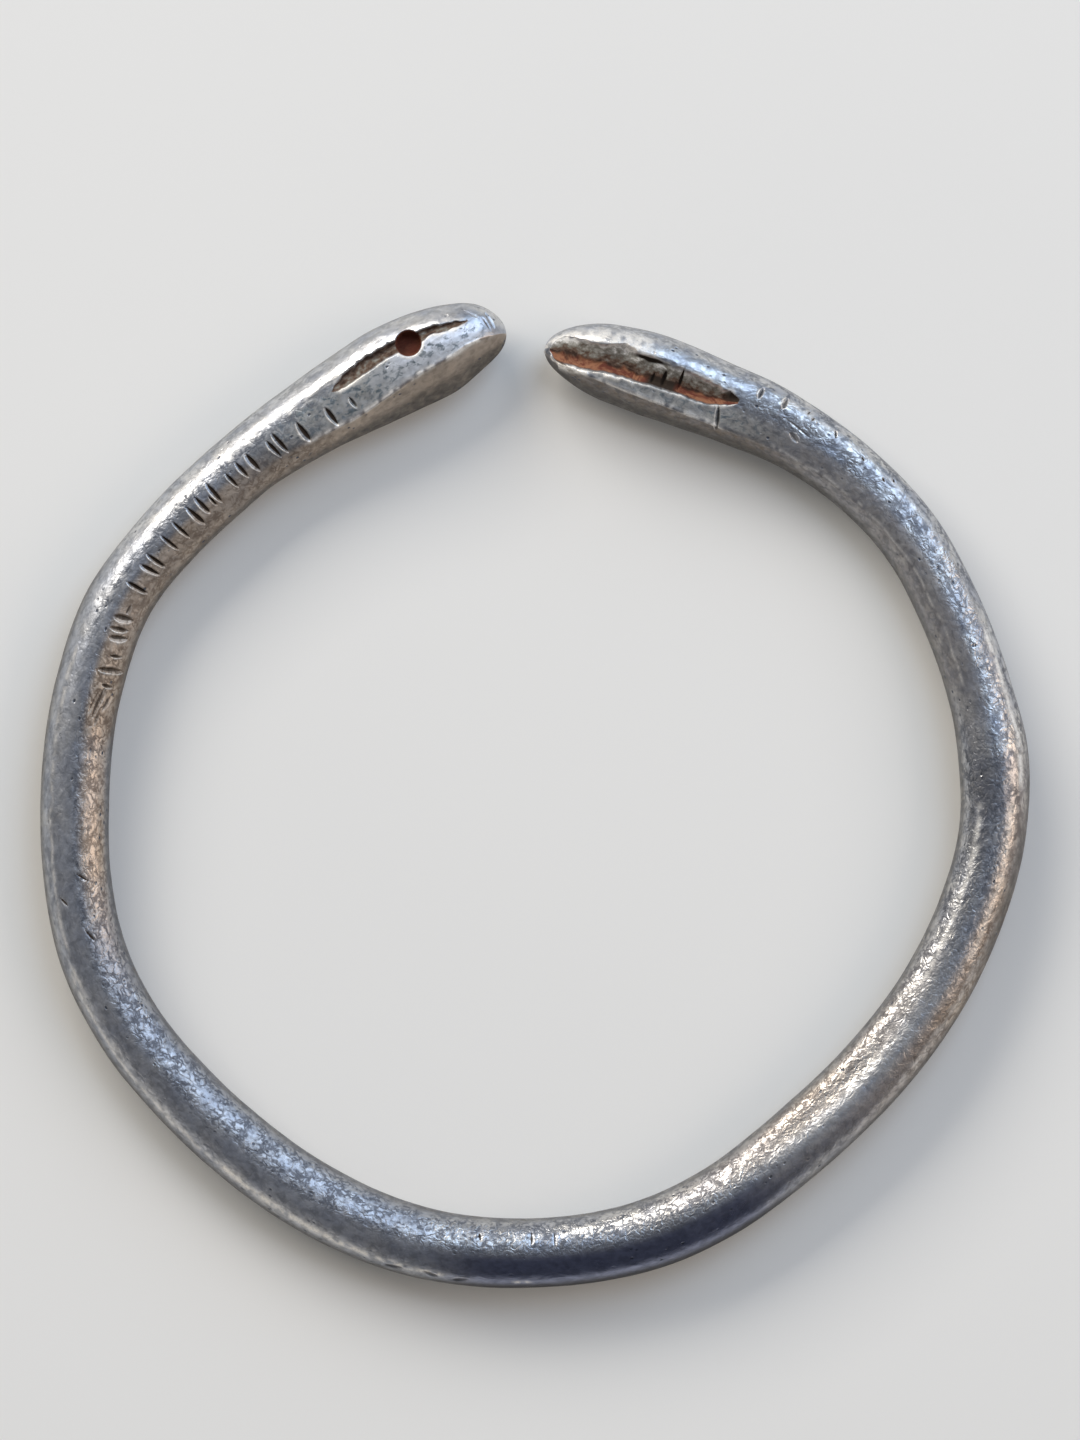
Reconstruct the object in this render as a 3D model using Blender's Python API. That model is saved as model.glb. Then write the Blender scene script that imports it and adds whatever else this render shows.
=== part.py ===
"""Snake-head bracelet: one silver rod, forged and bent into an open hoop with a snake's head at each end.

The hoop lies flat, +Z up, with its mouth towards +Y. Sizes are in metres. A way round is a share of the rod's
length, 0 at the tip of the left head and 1 at the tip of the right head. Across is measured from the rod's
middle, positive outwards.
"""

import math
from collections import namedtuple

import bmesh
import bpy
from mathutils import Matrix, Vector

MM = 0.001
PERCENT = 0.01

# The hoop and the rod it is bent from
HOOP_RADIUS = 31.3 * MM
ROD_WIDTH = 4.8 * MM
ROD_HEIGHT = 4.5 * MM
MOUTH_GAP = 2.6 * MM
MOUTH_BEARING = 91.15  # degrees, anticlockwise from +X
WEAR_DEPTH = 0.12 * MM  # how much of the underside is rubbed flat

# The heads
LEFT_HEAD_LENGTH = 14.5 * MM
LEFT_HEAD_WIDTH = 6.4 * MM
RIGHT_HEAD_LENGTH = 15.7 * MM
RIGHT_HEAD_WIDTH = 5.75 * MM
HEAD_HEIGHT = 4.9 * MM
SNOUT_LENGTH = 5.0 * MM

# The cuts: a drilled eye, a graved line along each head and a row of chisel nicks
EYE_DIAMETER = 1.8 * MM
EYE_DEPTH = 1.1 * MM
EYE_PLACE = (0.454, 0.416)  # shares of the left head's length from its tip, and of its half width
LEFT_LINE_DEPTH = 0.5 * MM
RIGHT_LINE_DEPTH = 1.0 * MM
NICK_LENGTH = 1.6 * MM
NICK_WIDTH = 0.34 * MM
NICK_DEPTH = 0.24 * MM
CLEARANCE = 0.6 * MM  # how far a cutter stands clear of the skin
WALL_OVERRUN = 0.3  # how far a graver's walls run on past the lips, as a share of the wall

# How finely the rod is divided
SIDES = 24  # round the rod, a multiple of six
SNOUT_RINGS = 8
HEAD_RING_STEP = 1.05 * MM
ROD_RING_STEP = 3.0 * MM
HEAD_REACH = 1.25  # the closer rings run this far back, in lengths of the longer head
EYE_SIDES = 20
PROBE = 0.2 * MM  # how far apart two points of the skin are taken to read its slope

# The bend: radius of the rod's middle as a share of the hoop's, at each percent of the way round
BEND = [
    (0.0, 1.019), (0.9, 1.018), (2.0, 1.003), (3.2, 0.993), (4.6, 0.982), (6.0, 0.972), (8.0, 0.966),
    (10.3, 0.969), (12.0, 0.973), (14.5, 0.988), (17.3, 1.009), (20.2, 1.009), (24.4, 1.010), (27.2, 1.020),
    (30.0, 1.030), (32.8, 1.023), (35.6, 1.009), (38.4, 1.002), (41.2, 1.004), (45.5, 1.009), (49.7, 1.000),
    (53.8, 0.991), (56.7, 0.974), (59.5, 0.955), (61.8, 0.950), (65.2, 0.958), (68.0, 0.973), (70.8, 0.989),
    (73.6, 1.006), (76.5, 1.010), (79.3, 1.002), (82.0, 1.000), (84.9, 1.002), (87.7, 0.991), (90.5, 0.976),
    (93.3, 0.959), (94.7, 0.958), (97.5, 0.966), (100.0, 0.981),
]

# The rod's thickness as a share of its nominal width and height, at each percent of the way round
THICKNESS = [
    (0.0, 1.0), (8.0, 0.99), (12.0, 0.98), (15.0, 0.955), (18.0, 0.955), (22.0, 0.98), (26.0, 0.98),
    (30.0, 0.97), (34.0, 0.99), (38.0, 1.02), (42.0, 1.03), (47.0, 1.01), (52.0, 1.0), (56.0, 1.03),
    (61.0, 1.04), (66.0, 1.025), (70.0, 0.985), (74.0, 0.97), (76.5, 1.01), (78.5, 0.94), (82.0, 0.915),
    (86.0, 0.925), (89.0, 0.95), (93.0, 0.96), (100.0, 0.95),
]

# A head's own form, at shares of its length from its tip. swell says how far it has grown from the rod's
# thickness to the head's, and ridge where the ridge stands between the middle (0) and the inner side (-1).
# The carved form fades into the round rod between the shares in fade. line is the graved line: its outer lip
# and inner lip as shares of the half width, and its depth as a share of line_depth. Its floor lies at
# line_floor of the way from the inner lip to the outer one.
Head = namedtuple("Head", "length width swell ridge fade line line_depth line_floor")
LEFT_HEAD = Head(
    length=LEFT_HEAD_LENGTH,
    width=LEFT_HEAD_WIDTH,
    swell=[
        (0, 0.43), (0.06, 0.56), (0.25, 0.80), (0.43, 1.0), (0.62, 0.98), (0.81, 0.65), (1.0, 0.35),
        (1.19, 0.17), (1.4, 0.0),
    ],
    ridge=[
        (0, 0.0), (0.1, -0.10), (0.2, -0.14), (0.3, -0.24), (0.45, -0.33), (0.6, -0.45), (0.8, -0.58),
        (1.2, -0.7),
    ],
    fade=(0.75, 1.25),
    line=[
        (0.857, 0.325, 0.288, 0.10), (0.790, 0.425, 0.213, 0.50), (0.683, 0.506, 0.210, 0.85),
        (0.602, 0.519, 0.250, 1.0), (0.522, 0.531, 0.275, 1.0), (0.442, 0.544, 0.294, 1.0),
        (0.361, 0.550, 0.313, 0.95), (0.294, 0.538, 0.350, 0.8), (0.228, 0.469, 0.344, 0.5),
        (0.167, 0.400, 0.363, 0.10),
    ],
    line_depth=LEFT_LINE_DEPTH,
    line_floor=0.35,
)
RIGHT_HEAD = Head(
    length=RIGHT_HEAD_LENGTH,
    width=RIGHT_HEAD_WIDTH,
    swell=[
        (0, 0.0), (0.13, 0.29), (0.31, 0.69), (0.48, 1.0), (0.65, 0.91), (0.83, 0.69), (1.0, 0.57),
        (1.17, 0.29), (1.35, 0.11), (1.5, 0.0),
    ],
    ridge=[(0, -0.3), (0.13, -0.48), (0.3, -0.54), (0.5, -0.6), (0.85, -0.66), (1.7, -0.65)],
    fade=(0.95, 2.4),
    line=[
        (0.921, 0.153, 0.070, 0.35), (0.890, 0.261, -0.014, 0.62), (0.828, 0.306, -0.143, 0.76),
        (0.742, 0.323, -0.230, 0.84), (0.630, 0.358, -0.261, 0.90), (0.519, 0.383, -0.278, 0.97),
        (0.433, 0.400, -0.299, 1.0), (0.358, 0.494, -0.306, 1.0), (0.284, 0.438, -0.306, 0.92),
        (0.210, 0.390, -0.313, 0.78), (0.148, 0.369, -0.299, 0.58), (0.087, 0.278, -0.209, 0.36),
        (0.037, 0.077, -0.021, 0.10),
    ],
    line_depth=RIGHT_LINE_DEPTH,
    line_floor=0.3,
)
CHEEK_ARC = 60  # degrees of round cheek above the outer side
RIDGE_RISE = 0.05  # how far the ridge stands above the round rod, as a share of the half height
INNER_FACE_BOW = 0.05  # how far the face inside the ridge bulges, likewise
UPPER_FACE_BOW = 0.06  # and the face outside it

# The nicks: percent of the way round, middle across as a share of the rod's half width, length as a share of
# NICK_LENGTH, lean of the outer end in degrees, and width as a share of NICK_WIDTH
NICKS = [
    (5.97, -0.28, 0.60, 14, 0.7), (6.92, -0.31, 1.00, 11, 1.2), (8.11, -0.25, 1.06, 6, 1.3),
    (9.06, -0.15, 1.13, 7, 1.0), (9.38, -0.20, 0.97, 8, 0.9), (10.30, -0.15, 1.00, 3, 1.2),
    (10.78, -0.11, 0.90, 1, 0.9), (11.31, -0.16, 0.84, 1, 0.9), (12.10, -0.08, 1.09, -5, 1.0),
    (12.34, -0.22, 0.56, -4, 0.6), (12.72, -0.11, 0.97, -4, 1.1), (13.17, -0.19, 1.09, -2, 1.3),
    (13.90, -0.18, 1.06, -5, 0.9), (14.52, -0.18, 1.00, -4, 0.9), (15.34, -0.23, 1.00, -4, 1.0),
    (15.73, -0.26, 0.97, 2, 1.1), (16.52, -0.27, 1.03, -2, 1.0), (17.73, -0.37, 0.84, 9, 1.2),
    (18.15, -0.38, 0.78, 10, 0.9), (18.46, -0.44, 0.78, 15, 1.1), (19.11, -0.55, 0.50, 12, 0.6),
    (19.65, -0.51, 1.06, 11, 1.1), (20.24, -0.54, 0.47, -2, 0.7),
    (89.19, 0.65, 0.60, 36, 0.8), (91.22, 0.65, 0.53, 6, 1.2), (92.12, 0.62, 0.53, 2, 1.0),
    (93.16, -0.47, 0.75, 21, 1.0),
]

HALF_MOUTH = MOUTH_GAP / HOOP_RADIUS / 2
ROD_TURN = 2 * math.pi - 2 * HALF_MOUTH
ROD_LENGTH = HOOP_RADIUS * ROD_TURN
UP = Vector((0, 0, 1))


def smooth(stations, at):
    """The value at a place on the smooth curve through (place, value) stations."""
    if at <= stations[0][0]:
        return stations[0][1]
    if at >= stations[-1][0]:
        return stations[-1][1]
    after = next(i for i, (place, _) in enumerate(stations) if place > at)
    (x0, y0), (x1, y1) = stations[after - 1], stations[after]

    def slope(i):
        low, high = stations[max(i - 1, 0)], stations[min(i + 1, len(stations) - 1)]
        return (high[1] - low[1]) / (high[0] - low[0])

    run = x1 - x0
    t = (at - x0) / run
    rise = 3 * t**2 - 2 * t**3
    leave, arrive = t * (1 - t) ** 2, t**2 * (t - 1)
    return y0 + (y1 - y0) * rise + run * (slope(after - 1) * leave + slope(after) * arrive)


def ease(start, end, at):
    """0 before start, 1 after end, and a smooth step between."""
    t = min(max((at - start) / (end - start), 0), 1)
    return t * t * (3 - 2 * t)


def heads_at(way):
    """Each head with the distance of this place from its tip."""
    return [(LEFT_HEAD, way * ROD_LENGTH), (RIGHT_HEAD, (1 - way) * ROD_LENGTH)]


def way_on_head(head, share):
    """The way round of the place at this share of a head's length from its tip."""
    from_tip = share * head.length / ROD_LENGTH
    return from_tip if head is LEFT_HEAD else 1 - from_tip


def bend_point(way):
    """The middle of the rod."""
    bearing = math.radians(MOUTH_BEARING) + HALF_MOUTH + way * ROD_TURN
    radius = HOOP_RADIUS * smooth(BEND, way / PERCENT)
    return Vector((radius * math.cos(bearing), radius * math.sin(bearing), 0)), bearing


def half_sizes(way):
    """Half the width and half the height of the rod or head, before the snout rounds it off."""
    thickness = smooth(THICKNESS, way / PERCENT)
    width, height = ROD_WIDTH * thickness, ROD_HEIGHT * thickness
    for head, from_tip in heads_at(way):
        swell = smooth(head.swell, from_tip / head.length)
        width += swell * (head.width - width)
        height += swell * (HEAD_HEIGHT - height)
    return width / 2, height / 2


def arc(degrees, steps):
    """Points of the unit circle from the outer side upwards."""
    return [(math.cos(math.radians(degrees * i / steps)), math.sin(math.radians(degrees * i / steps)))
            for i in range(steps + 1)]


def carved_outline(ridge):
    """A head's upper half in shares: a round cheek, a face up to the ridge and a steep face inside it."""
    steps = SIDES // 6
    points = arc(CHEEK_ARC, steps)
    top = (ridge, math.sqrt(1 - ridge**2) + RIDGE_RISE)
    for end, bow in ((top, UPPER_FACE_BOW), ((-1.0, 0.0), INNER_FACE_BOW)):
        start = points[-1]
        for step in range(1, steps + 1):
            t = step / steps
            across = start[0] + (end[0] - start[0]) * t
            points.append((across, start[1] + (end[1] - start[1]) * t + bow * math.sin(math.pi * t)))
    return points


def upper_outline(way):
    """The section's upper half as (across, up) distances, from the outer side over to the inner side."""
    half_width, half_height = half_sizes(way)
    shares = arc(180, SIDES // 2)
    snout = 1.0
    for head, from_tip in heads_at(way):
        share = from_tip / head.length
        carved = 1 - ease(*head.fade, share)
        form = carved_outline(smooth(head.ridge, share))
        shares = [(a + (c - a) * carved, b + (d - b) * carved) for (a, b), (c, d) in zip(shares, form)]
        rounding = min(max(from_tip / SNOUT_LENGTH, 0), 1)
        snout *= math.sqrt(rounding * (2 - rounding))
    return [(across * half_width * snout, up * half_height * snout) for across, up in shares]


def middle_height(way):
    """How high the middle lies, so that every section's underside would reach the same level."""
    return half_sizes(way)[1]


def skin(way, across):
    """The point on the rod's upper skin at this place along and across."""
    outline = upper_outline(way)
    across = min(max(across, outline[-1][0]), outline[0][0])
    pairs = zip(outline, outline[1:])
    (outer, high), (inner, low) = next(pair for pair in pairs if pair[1][0] <= across)
    up = low + (high - low) * (across - inner) / (outer - inner)
    middle, bearing = bend_point(way)
    out = Vector((math.cos(bearing), math.sin(bearing), 0))
    return middle + out * across + UP * (middle_height(way) + up)


def ring(way):
    """The whole section in space, its underside worn flat."""
    upper = upper_outline(way)
    lower = [(across, -up) for across, up in reversed(upper[1:-1])]
    middle, bearing = bend_point(way)
    out = Vector((math.cos(bearing), math.sin(bearing), 0))
    points = [middle + out * across + UP * (middle_height(way) + up) for across, up in upper + lower]
    return [Vector((p.x, p.y, max(p.z, WEAR_DEPTH))) for p in points]


def ring_ways():
    """Places of the sections: crowded on the snouts, closer on the heads than on the rod."""
    from_tip = [SNOUT_LENGTH * (1 - math.cos(math.pi / 2 * i / SNOUT_RINGS)) for i in range(1, SNOUT_RINGS + 1)]
    longest = max(LEFT_HEAD_LENGTH, RIGHT_HEAD_LENGTH)
    while from_tip[-1] < longest * HEAD_REACH:
        from_tip.append(from_tip[-1] + HEAD_RING_STEP)
    steps = round((ROD_LENGTH - 2 * from_tip[-1]) / ROD_RING_STEP)
    first = from_tip[-1] / ROD_LENGTH
    rod = [first + (1 - 2 * first) * i / steps for i in range(1, steps)]
    head = [distance / ROD_LENGTH for distance in from_tip]
    return head + rod + [1 - way for way in reversed(head)]


def loft(mesh, rings, tips):
    """Skins the rings, which all have as many points, and closes each end on its tip."""
    rows = [[mesh.verts.new(point) for point in points] for points in rings]
    for first, second in zip(rows, rows[1:]):
        for i in range(len(first)):
            j = (i + 1) % len(first)
            mesh.faces.new((first[i], first[j], second[j], second[i]))
    for row, tip in ((rows[0], tips[0]), (rows[-1], tips[1])):
        end = mesh.verts.new(tip)
        for i in range(len(row)):
            mesh.faces.new((row[i], row[(i + 1) % len(row)], end))


def object_from(mesh, name, collection):
    bmesh.ops.recalc_face_normals(mesh, faces=mesh.faces)
    data = bpy.data.meshes.new(name)
    mesh.to_mesh(data)
    mesh.free()
    made = bpy.data.objects.new(name, data)
    collection.objects.link(made)
    return made


def cutter_from(mesh, name, collection):
    cutter = object_from(mesh, name, collection)
    cutter.hide_render = True
    cutter.display_type = "WIRE"
    return cutter


def silver():
    material = bpy.data.materials.new("worn_silver")
    material.use_nodes = True
    shader = material.node_tree.nodes["Principled BSDF"]
    shader.inputs["Base Color"].default_value = (0.66, 0.64, 0.62, 1)
    shader.inputs["Metallic"].default_value = 1.0
    shader.inputs["Roughness"].default_value = 0.34
    return material


def bracelet_body(collection):
    mesh = bmesh.new()
    tips = [bend_point(way)[0] + UP * middle_height(way) for way in (0, 1)]
    loft(mesh, [ring(way) for way in ring_ways()], tips)
    body = object_from(mesh, "snake_bracelet", collection)
    body.data.materials.append(silver())
    return body


def turned_under(points, way):
    """The same points on the underside."""
    level = 2 * middle_height(way)
    return [Vector((p.x, p.y, level - p.z)) for p in points]


def graved_section(head, share, outer, inner, depth_share):
    """A graver's cut across the skin: a floor, two walls through the lips, and a top clear of the skin."""
    way, half_width = way_on_head(head, share), head.width / 2
    low = skin(way, half_width * (inner + (outer - inner) * head.line_floor))
    floor = low - UP * depth_share * head.line_depth
    lips = [skin(way, half_width * lip) for lip in (outer, inner)]
    walls = [lip + (lip - floor) * WALL_OVERRUN for lip in lips]
    return [floor, walls[0], walls[0] + UP * CLEARANCE, walls[1] + UP * CLEARANCE, walls[1]]


def graved_lines(collection):
    """One line along each head, and the same line on its underside."""
    mesh = bmesh.new()
    for head in (LEFT_HEAD, RIGHT_HEAD):
        over = [graved_section(head, *station) for station in head.line]
        ways = [way_on_head(head, station[0]) for station in head.line]
        under = [turned_under(points, way) for points, way in zip(over, ways)]
        for rings in (over, under):
            ends = [sum(points, Vector()) / len(points) for points in (rings[0], rings[-1])]
            loft(mesh, rings, ends)
    return cutter_from(mesh, "graved_lines", collection)


def eye_drills(collection):
    """A blind hole drilled straight down into the left head, and one straight up."""
    mesh = bmesh.new()
    way = way_on_head(LEFT_HEAD, EYE_PLACE[0])
    rim = skin(way, LEFT_HEAD_WIDTH / 2 * EYE_PLACE[1])
    drill = rim + UP * (CLEARANCE - EYE_DEPTH) / 2
    for place in [drill, *turned_under([drill], way)]:
        bmesh.ops.create_cone(
            mesh,
            cap_ends=True,
            segments=EYE_SIDES,
            radius1=EYE_DIAMETER / 2,
            radius2=EYE_DIAMETER / 2,
            depth=EYE_DEPTH + CLEARANCE,
            matrix=Matrix.Translation(place),
        )
    return cutter_from(mesh, "eye_drills", collection)


def nick_chisels(collection):
    """Short V cuts across the upper skin, each a four-sided bar with one edge down."""
    mesh = bmesh.new()
    for percent, across_share, length_share, lean, width_share in NICKS:
        way, across = percent * PERCENT, across_share * ROD_WIDTH / 2
        middle = skin(way, across)
        outwards = (skin(way, across + PROBE) - skin(way, across - PROBE)).normalized()
        along = (skin(way + PROBE / ROD_LENGTH, across) - middle).normalized()
        blade = (outwards * math.cos(math.radians(lean)) + along * math.sin(math.radians(lean))).normalized()
        normal = outwards.cross(along).normalized()
        axes = Matrix((normal.cross(blade), normal, blade)).transposed().to_4x4()
        size = Matrix.Diagonal((NICK_WIDTH * width_share, 2 * NICK_DEPTH, NICK_LENGTH * length_share, 1))
        bmesh.ops.create_cone(
            mesh,
            cap_ends=True,
            segments=4,
            radius1=1,
            radius2=1,
            depth=1,
            matrix=Matrix.Translation(middle + normal * NICK_DEPTH) @ axes @ size,
        )
    return cutter_from(mesh, "nick_chisels", collection)


def cut(body, cutter):
    modifier = body.modifiers.new(cutter.name, "BOOLEAN")
    modifier.operation = "DIFFERENCE"
    modifier.solver = "EXACT"
    modifier.object = cutter


def set_on_origin(objects):
    """Moves everything so that the hoop's box stands on the origin, centred over it."""
    corners = [Vector(corner) for corner in objects[0].bound_box]
    low = Vector([min(corner[i] for corner in corners) for i in range(3)])
    high = Vector([max(corner[i] for corner in corners) for i in range(3)])
    shift = Matrix.Translation((-(low.x + high.x) / 2, -(low.y + high.y) / 2, -low.z))
    for placed in objects:
        placed.data.transform(shift)


def main():
    for old in list(bpy.data.objects):
        bpy.data.objects.remove(old)
    pieces = bpy.data.collections.new("snake_head_bracelet")
    cutters = bpy.data.collections.new("cutters")
    for collection in (pieces, cutters):
        bpy.context.scene.collection.children.link(collection)
    body = bracelet_body(pieces)
    tools = [graved_lines(cutters), eye_drills(cutters), nick_chisels(cutters)]
    set_on_origin([body, *tools])
    for tool in tools:
        cut(body, tool)
    body.data.shade_smooth()
    body.data.set_sharp_from_angle(angle=math.radians(35))


main()
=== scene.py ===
"""A silver snake-head bracelet lying flat, with its worn, toned and soiled surface.

Blender's lengths are metres. Lengths on the rod are in millimetres: along it from the tip of the left head
to the tip of the right one, and across it from its middle, positive towards the outside of the hoop.
Degrees over the rod run from its outer side (0) over the top (90) to its inner side (180).
"""

import math
from collections import namedtuple

import bpy
import numpy as np
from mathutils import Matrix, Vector, noise


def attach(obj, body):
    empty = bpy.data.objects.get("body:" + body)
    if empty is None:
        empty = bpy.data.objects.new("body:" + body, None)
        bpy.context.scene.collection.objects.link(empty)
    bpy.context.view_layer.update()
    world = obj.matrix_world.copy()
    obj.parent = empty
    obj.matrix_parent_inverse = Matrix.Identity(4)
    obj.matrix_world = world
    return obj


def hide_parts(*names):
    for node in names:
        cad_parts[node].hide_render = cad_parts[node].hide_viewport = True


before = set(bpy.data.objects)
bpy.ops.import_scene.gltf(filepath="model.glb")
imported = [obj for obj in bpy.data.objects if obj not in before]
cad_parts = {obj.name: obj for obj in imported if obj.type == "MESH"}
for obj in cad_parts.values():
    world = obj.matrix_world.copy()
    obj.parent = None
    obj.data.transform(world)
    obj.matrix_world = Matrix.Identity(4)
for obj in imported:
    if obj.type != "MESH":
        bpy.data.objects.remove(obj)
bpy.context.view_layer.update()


# The rod
# One solid silver rod, hammered round and thicker towards its ends, then bent into an open hoop. Hammering
# left it a little uneven, and wear has rubbed a narrow flat round its underside, where it rests.
MM = 0.001
HOOP_RADIUS = 31.3
ROD_WIDTH = 4.8
ROD_HEIGHT = 4.5
MOUTH_GAP = 2.6
MOUTH_BEARING = math.radians(91.15)
WEAR_DEPTH = 0.12
HALF_MOUTH = MOUTH_GAP / HOOP_RADIUS / 2
ROD_TURN = 2 * math.pi - 2 * HALF_MOUTH
ROD_LENGTH = HOOP_RADIUS * ROD_TURN
FIRST_BEARING = MOUTH_BEARING + HALF_MOUTH
SIDES = 60
TOP_CROWDING = 0.35  # how much closer the sides stand on top than on the flanks
TIP_CROWDING = 1.6  # the stretch at each tip where the rings close up
STRETCHES = [(0, 0), (41.5, 260), (168.0, 610), (ROD_LENGTH, 773)]  # rings passed by each place along

# Radius of the rod's middle, as a share of the hoop's, at each percent of the way round
BEND = [
    (0.0, 1.019), (0.9, 1.018), (2.0, 1.003), (3.2, 0.993), (4.6, 0.982), (6.0, 0.972), (8.0, 0.966),
    (10.3, 0.969), (12.0, 0.973), (14.5, 0.988), (17.3, 1.009), (20.2, 1.009), (24.4, 1.010), (27.2, 1.020),
    (30.0, 1.030), (32.8, 1.023), (35.6, 1.009), (38.4, 1.002), (41.2, 1.004), (45.5, 1.009), (49.7, 1.000),
    (53.8, 0.991), (56.7, 0.974), (59.5, 0.955), (61.8, 0.950), (65.2, 0.958), (68.0, 0.973), (70.8, 0.989),
    (73.6, 1.006), (76.5, 1.010), (79.3, 1.002), (82.0, 1.000), (84.9, 1.002), (87.7, 0.991), (90.5, 0.976),
    (93.3, 0.959), (94.7, 0.958), (97.5, 0.966), (100.0, 0.981),
]

# The rod's thickness as a share of its width and height, at each percent of the way round
THICKNESS = [
    (0.0, 1.0), (8.0, 0.99), (12.0, 0.98), (15.0, 0.955), (18.0, 0.955), (22.0, 0.98), (26.0, 0.98),
    (30.0, 0.97), (34.0, 0.99), (38.0, 1.02), (42.0, 1.03), (47.0, 1.01), (52.0, 1.0), (56.0, 1.03),
    (61.0, 1.04), (66.0, 1.025), (70.0, 0.985), (74.0, 0.97), (76.5, 1.01), (78.5, 0.94), (82.0, 0.915),
    (86.0, 0.925), (89.0, 0.95), (93.0, 0.96), (100.0, 0.95),
]

# The heads' own form, at shares of each head's length from its tip: swell is how far the rod has grown to
# the head's width, ridge is where the ridge stands between the middle (0) and the inner side (-1), and
# between the shares in fade the carved form goes over into the round rod
Head = namedtuple("Head", "length width swell ridge fade")
LEFT_HEAD = Head(
    length=14.5,
    width=6.4,
    swell=[
        (0, 0.43), (0.06, 0.56), (0.25, 0.80), (0.43, 1.0), (0.62, 0.98), (0.81, 0.65), (1.0, 0.35),
        (1.19, 0.17), (1.4, 0.0),
    ],
    ridge=[
        (0, 0.0), (0.1, -0.10), (0.2, -0.14), (0.3, -0.24), (0.45, -0.33), (0.6, -0.45), (0.8, -0.58),
        (1.2, -0.7),
    ],
    fade=(0.75, 1.25),
)
RIGHT_HEAD = Head(
    length=15.7,
    width=5.75,
    swell=[
        (0, 0.0), (0.13, 0.29), (0.31, 0.69), (0.48, 1.0), (0.65, 0.91), (0.83, 0.69), (1.0, 0.57),
        (1.17, 0.29), (1.35, 0.11), (1.5, 0.0),
    ],
    ridge=[(0, -0.3), (0.13, -0.48), (0.3, -0.54), (0.5, -0.6), (0.85, -0.66), (1.7, -0.65)],
    fade=(0.95, 2.4),
)
HEAD_HEIGHT = 4.9
SNOUT_LENGTH = 5.0
CHEEK_ARC = 60  # degrees of round cheek above the outer side
FACE_ARC = 60  # degrees that the face outside the ridge takes of the section's half turn
RIDGE_RISE = 0.05
INNER_FACE_BOW = 0.05
UPPER_FACE_BOW = 0.06


def smooth(stations, at):
    """The value at each place on the smooth curve through (place, value) stations."""
    place, value = np.array(stations, float).T
    order = np.arange(len(place))
    low, high = np.maximum(order - 1, 0), np.minimum(order + 1, len(place) - 1)
    slope = (value[high] - value[low]) / (place[high] - place[low])
    at = np.clip(at, place[0], place[-1])
    after = np.clip(np.searchsorted(place, at, side="right"), 1, len(place) - 1)
    before = after - 1
    run = place[after] - place[before]
    t = (at - place[before]) / run
    rise = 3 * t**2 - 2 * t**3
    bend = slope[before] * t * (1 - t) ** 2 + slope[after] * t**2 * (t - 1)
    return value[before] + (value[after] - value[before]) * rise + run * bend


def ease(start, end, at):
    """0 before start, 1 after end, and a smooth step between."""
    t = np.clip((at - start) / (end - start), 0, 1)
    return t * t * (3 - 2 * t)


def between(start, full, fading, end, at):
    """0 before start and after end, 1 from full to fading, and smooth steps between."""
    return ease(start, full, at) * (1 - ease(fading, end, at))


def hump(middle, reach, at):
    """1 at the middle, falling off smoothly to both sides over about the reach."""
    return np.exp(-(((at - middle) / reach) ** 2))


def heads_at(along):
    return [(LEFT_HEAD, along), (RIGHT_HEAD, ROD_LENGTH - along)]


def half_sizes(along):
    """Half the width and half the height of the rod or head, before the snout rounds it off."""
    thickness = smooth(THICKNESS, 100 * along / ROD_LENGTH)
    width, height = ROD_WIDTH * thickness, ROD_HEIGHT * thickness
    for head, from_tip in heads_at(along):
        swell = smooth(head.swell, from_tip / head.length)
        width = width + swell * (head.width - width)
        height = height + swell * (HEAD_HEIGHT - height)
    return width / 2, height / 2


def section(along, turn):
    """How far across and up the skin lies at each place, turn being degrees from the outer side up."""
    half_width, half_height = half_sizes(along)
    over = np.where(turn <= 180, turn, 360 - turn)
    across, up = np.cos(np.radians(over)), np.sin(np.radians(over))
    cheek = math.radians(CHEEK_ARC)
    face = np.clip((over - CHEEK_ARC) / FACE_ARC, 0, 1)
    inside = np.clip((over - CHEEK_ARC - FACE_ARC) / (180 - CHEEK_ARC - FACE_ARC), 0, 1)
    snout = 1
    for head, from_tip in heads_at(along):
        carved = 1 - ease(*head.fade, from_tip / head.length)
        ridge = smooth(head.ridge, from_tip / head.length)
        top = np.sqrt(1 - ridge**2) + RIDGE_RISE
        flat_across = np.where(face < 1, math.cos(cheek) + (ridge - math.cos(cheek)) * face,
                               ridge + (-1 - ridge) * inside)
        flat_up = np.where(face < 1, math.sin(cheek) + (top - math.sin(cheek)) * face, top * (1 - inside))
        flat_up = flat_up + UPPER_FACE_BOW * np.sin(np.pi * face) + INNER_FACE_BOW * np.sin(np.pi * inside)
        on_face = carved * (over > CHEEK_ARC)
        across = across + on_face * (flat_across - across)
        up = up + on_face * (flat_up - up)
        rounding = np.clip(from_tip / SNOUT_LENGTH, 0, 1)
        snout = snout * np.sqrt(rounding * (2 - rounding))
    return across * half_width * snout, np.where(turn <= 180, 1, -1) * up * half_height * snout


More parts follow.
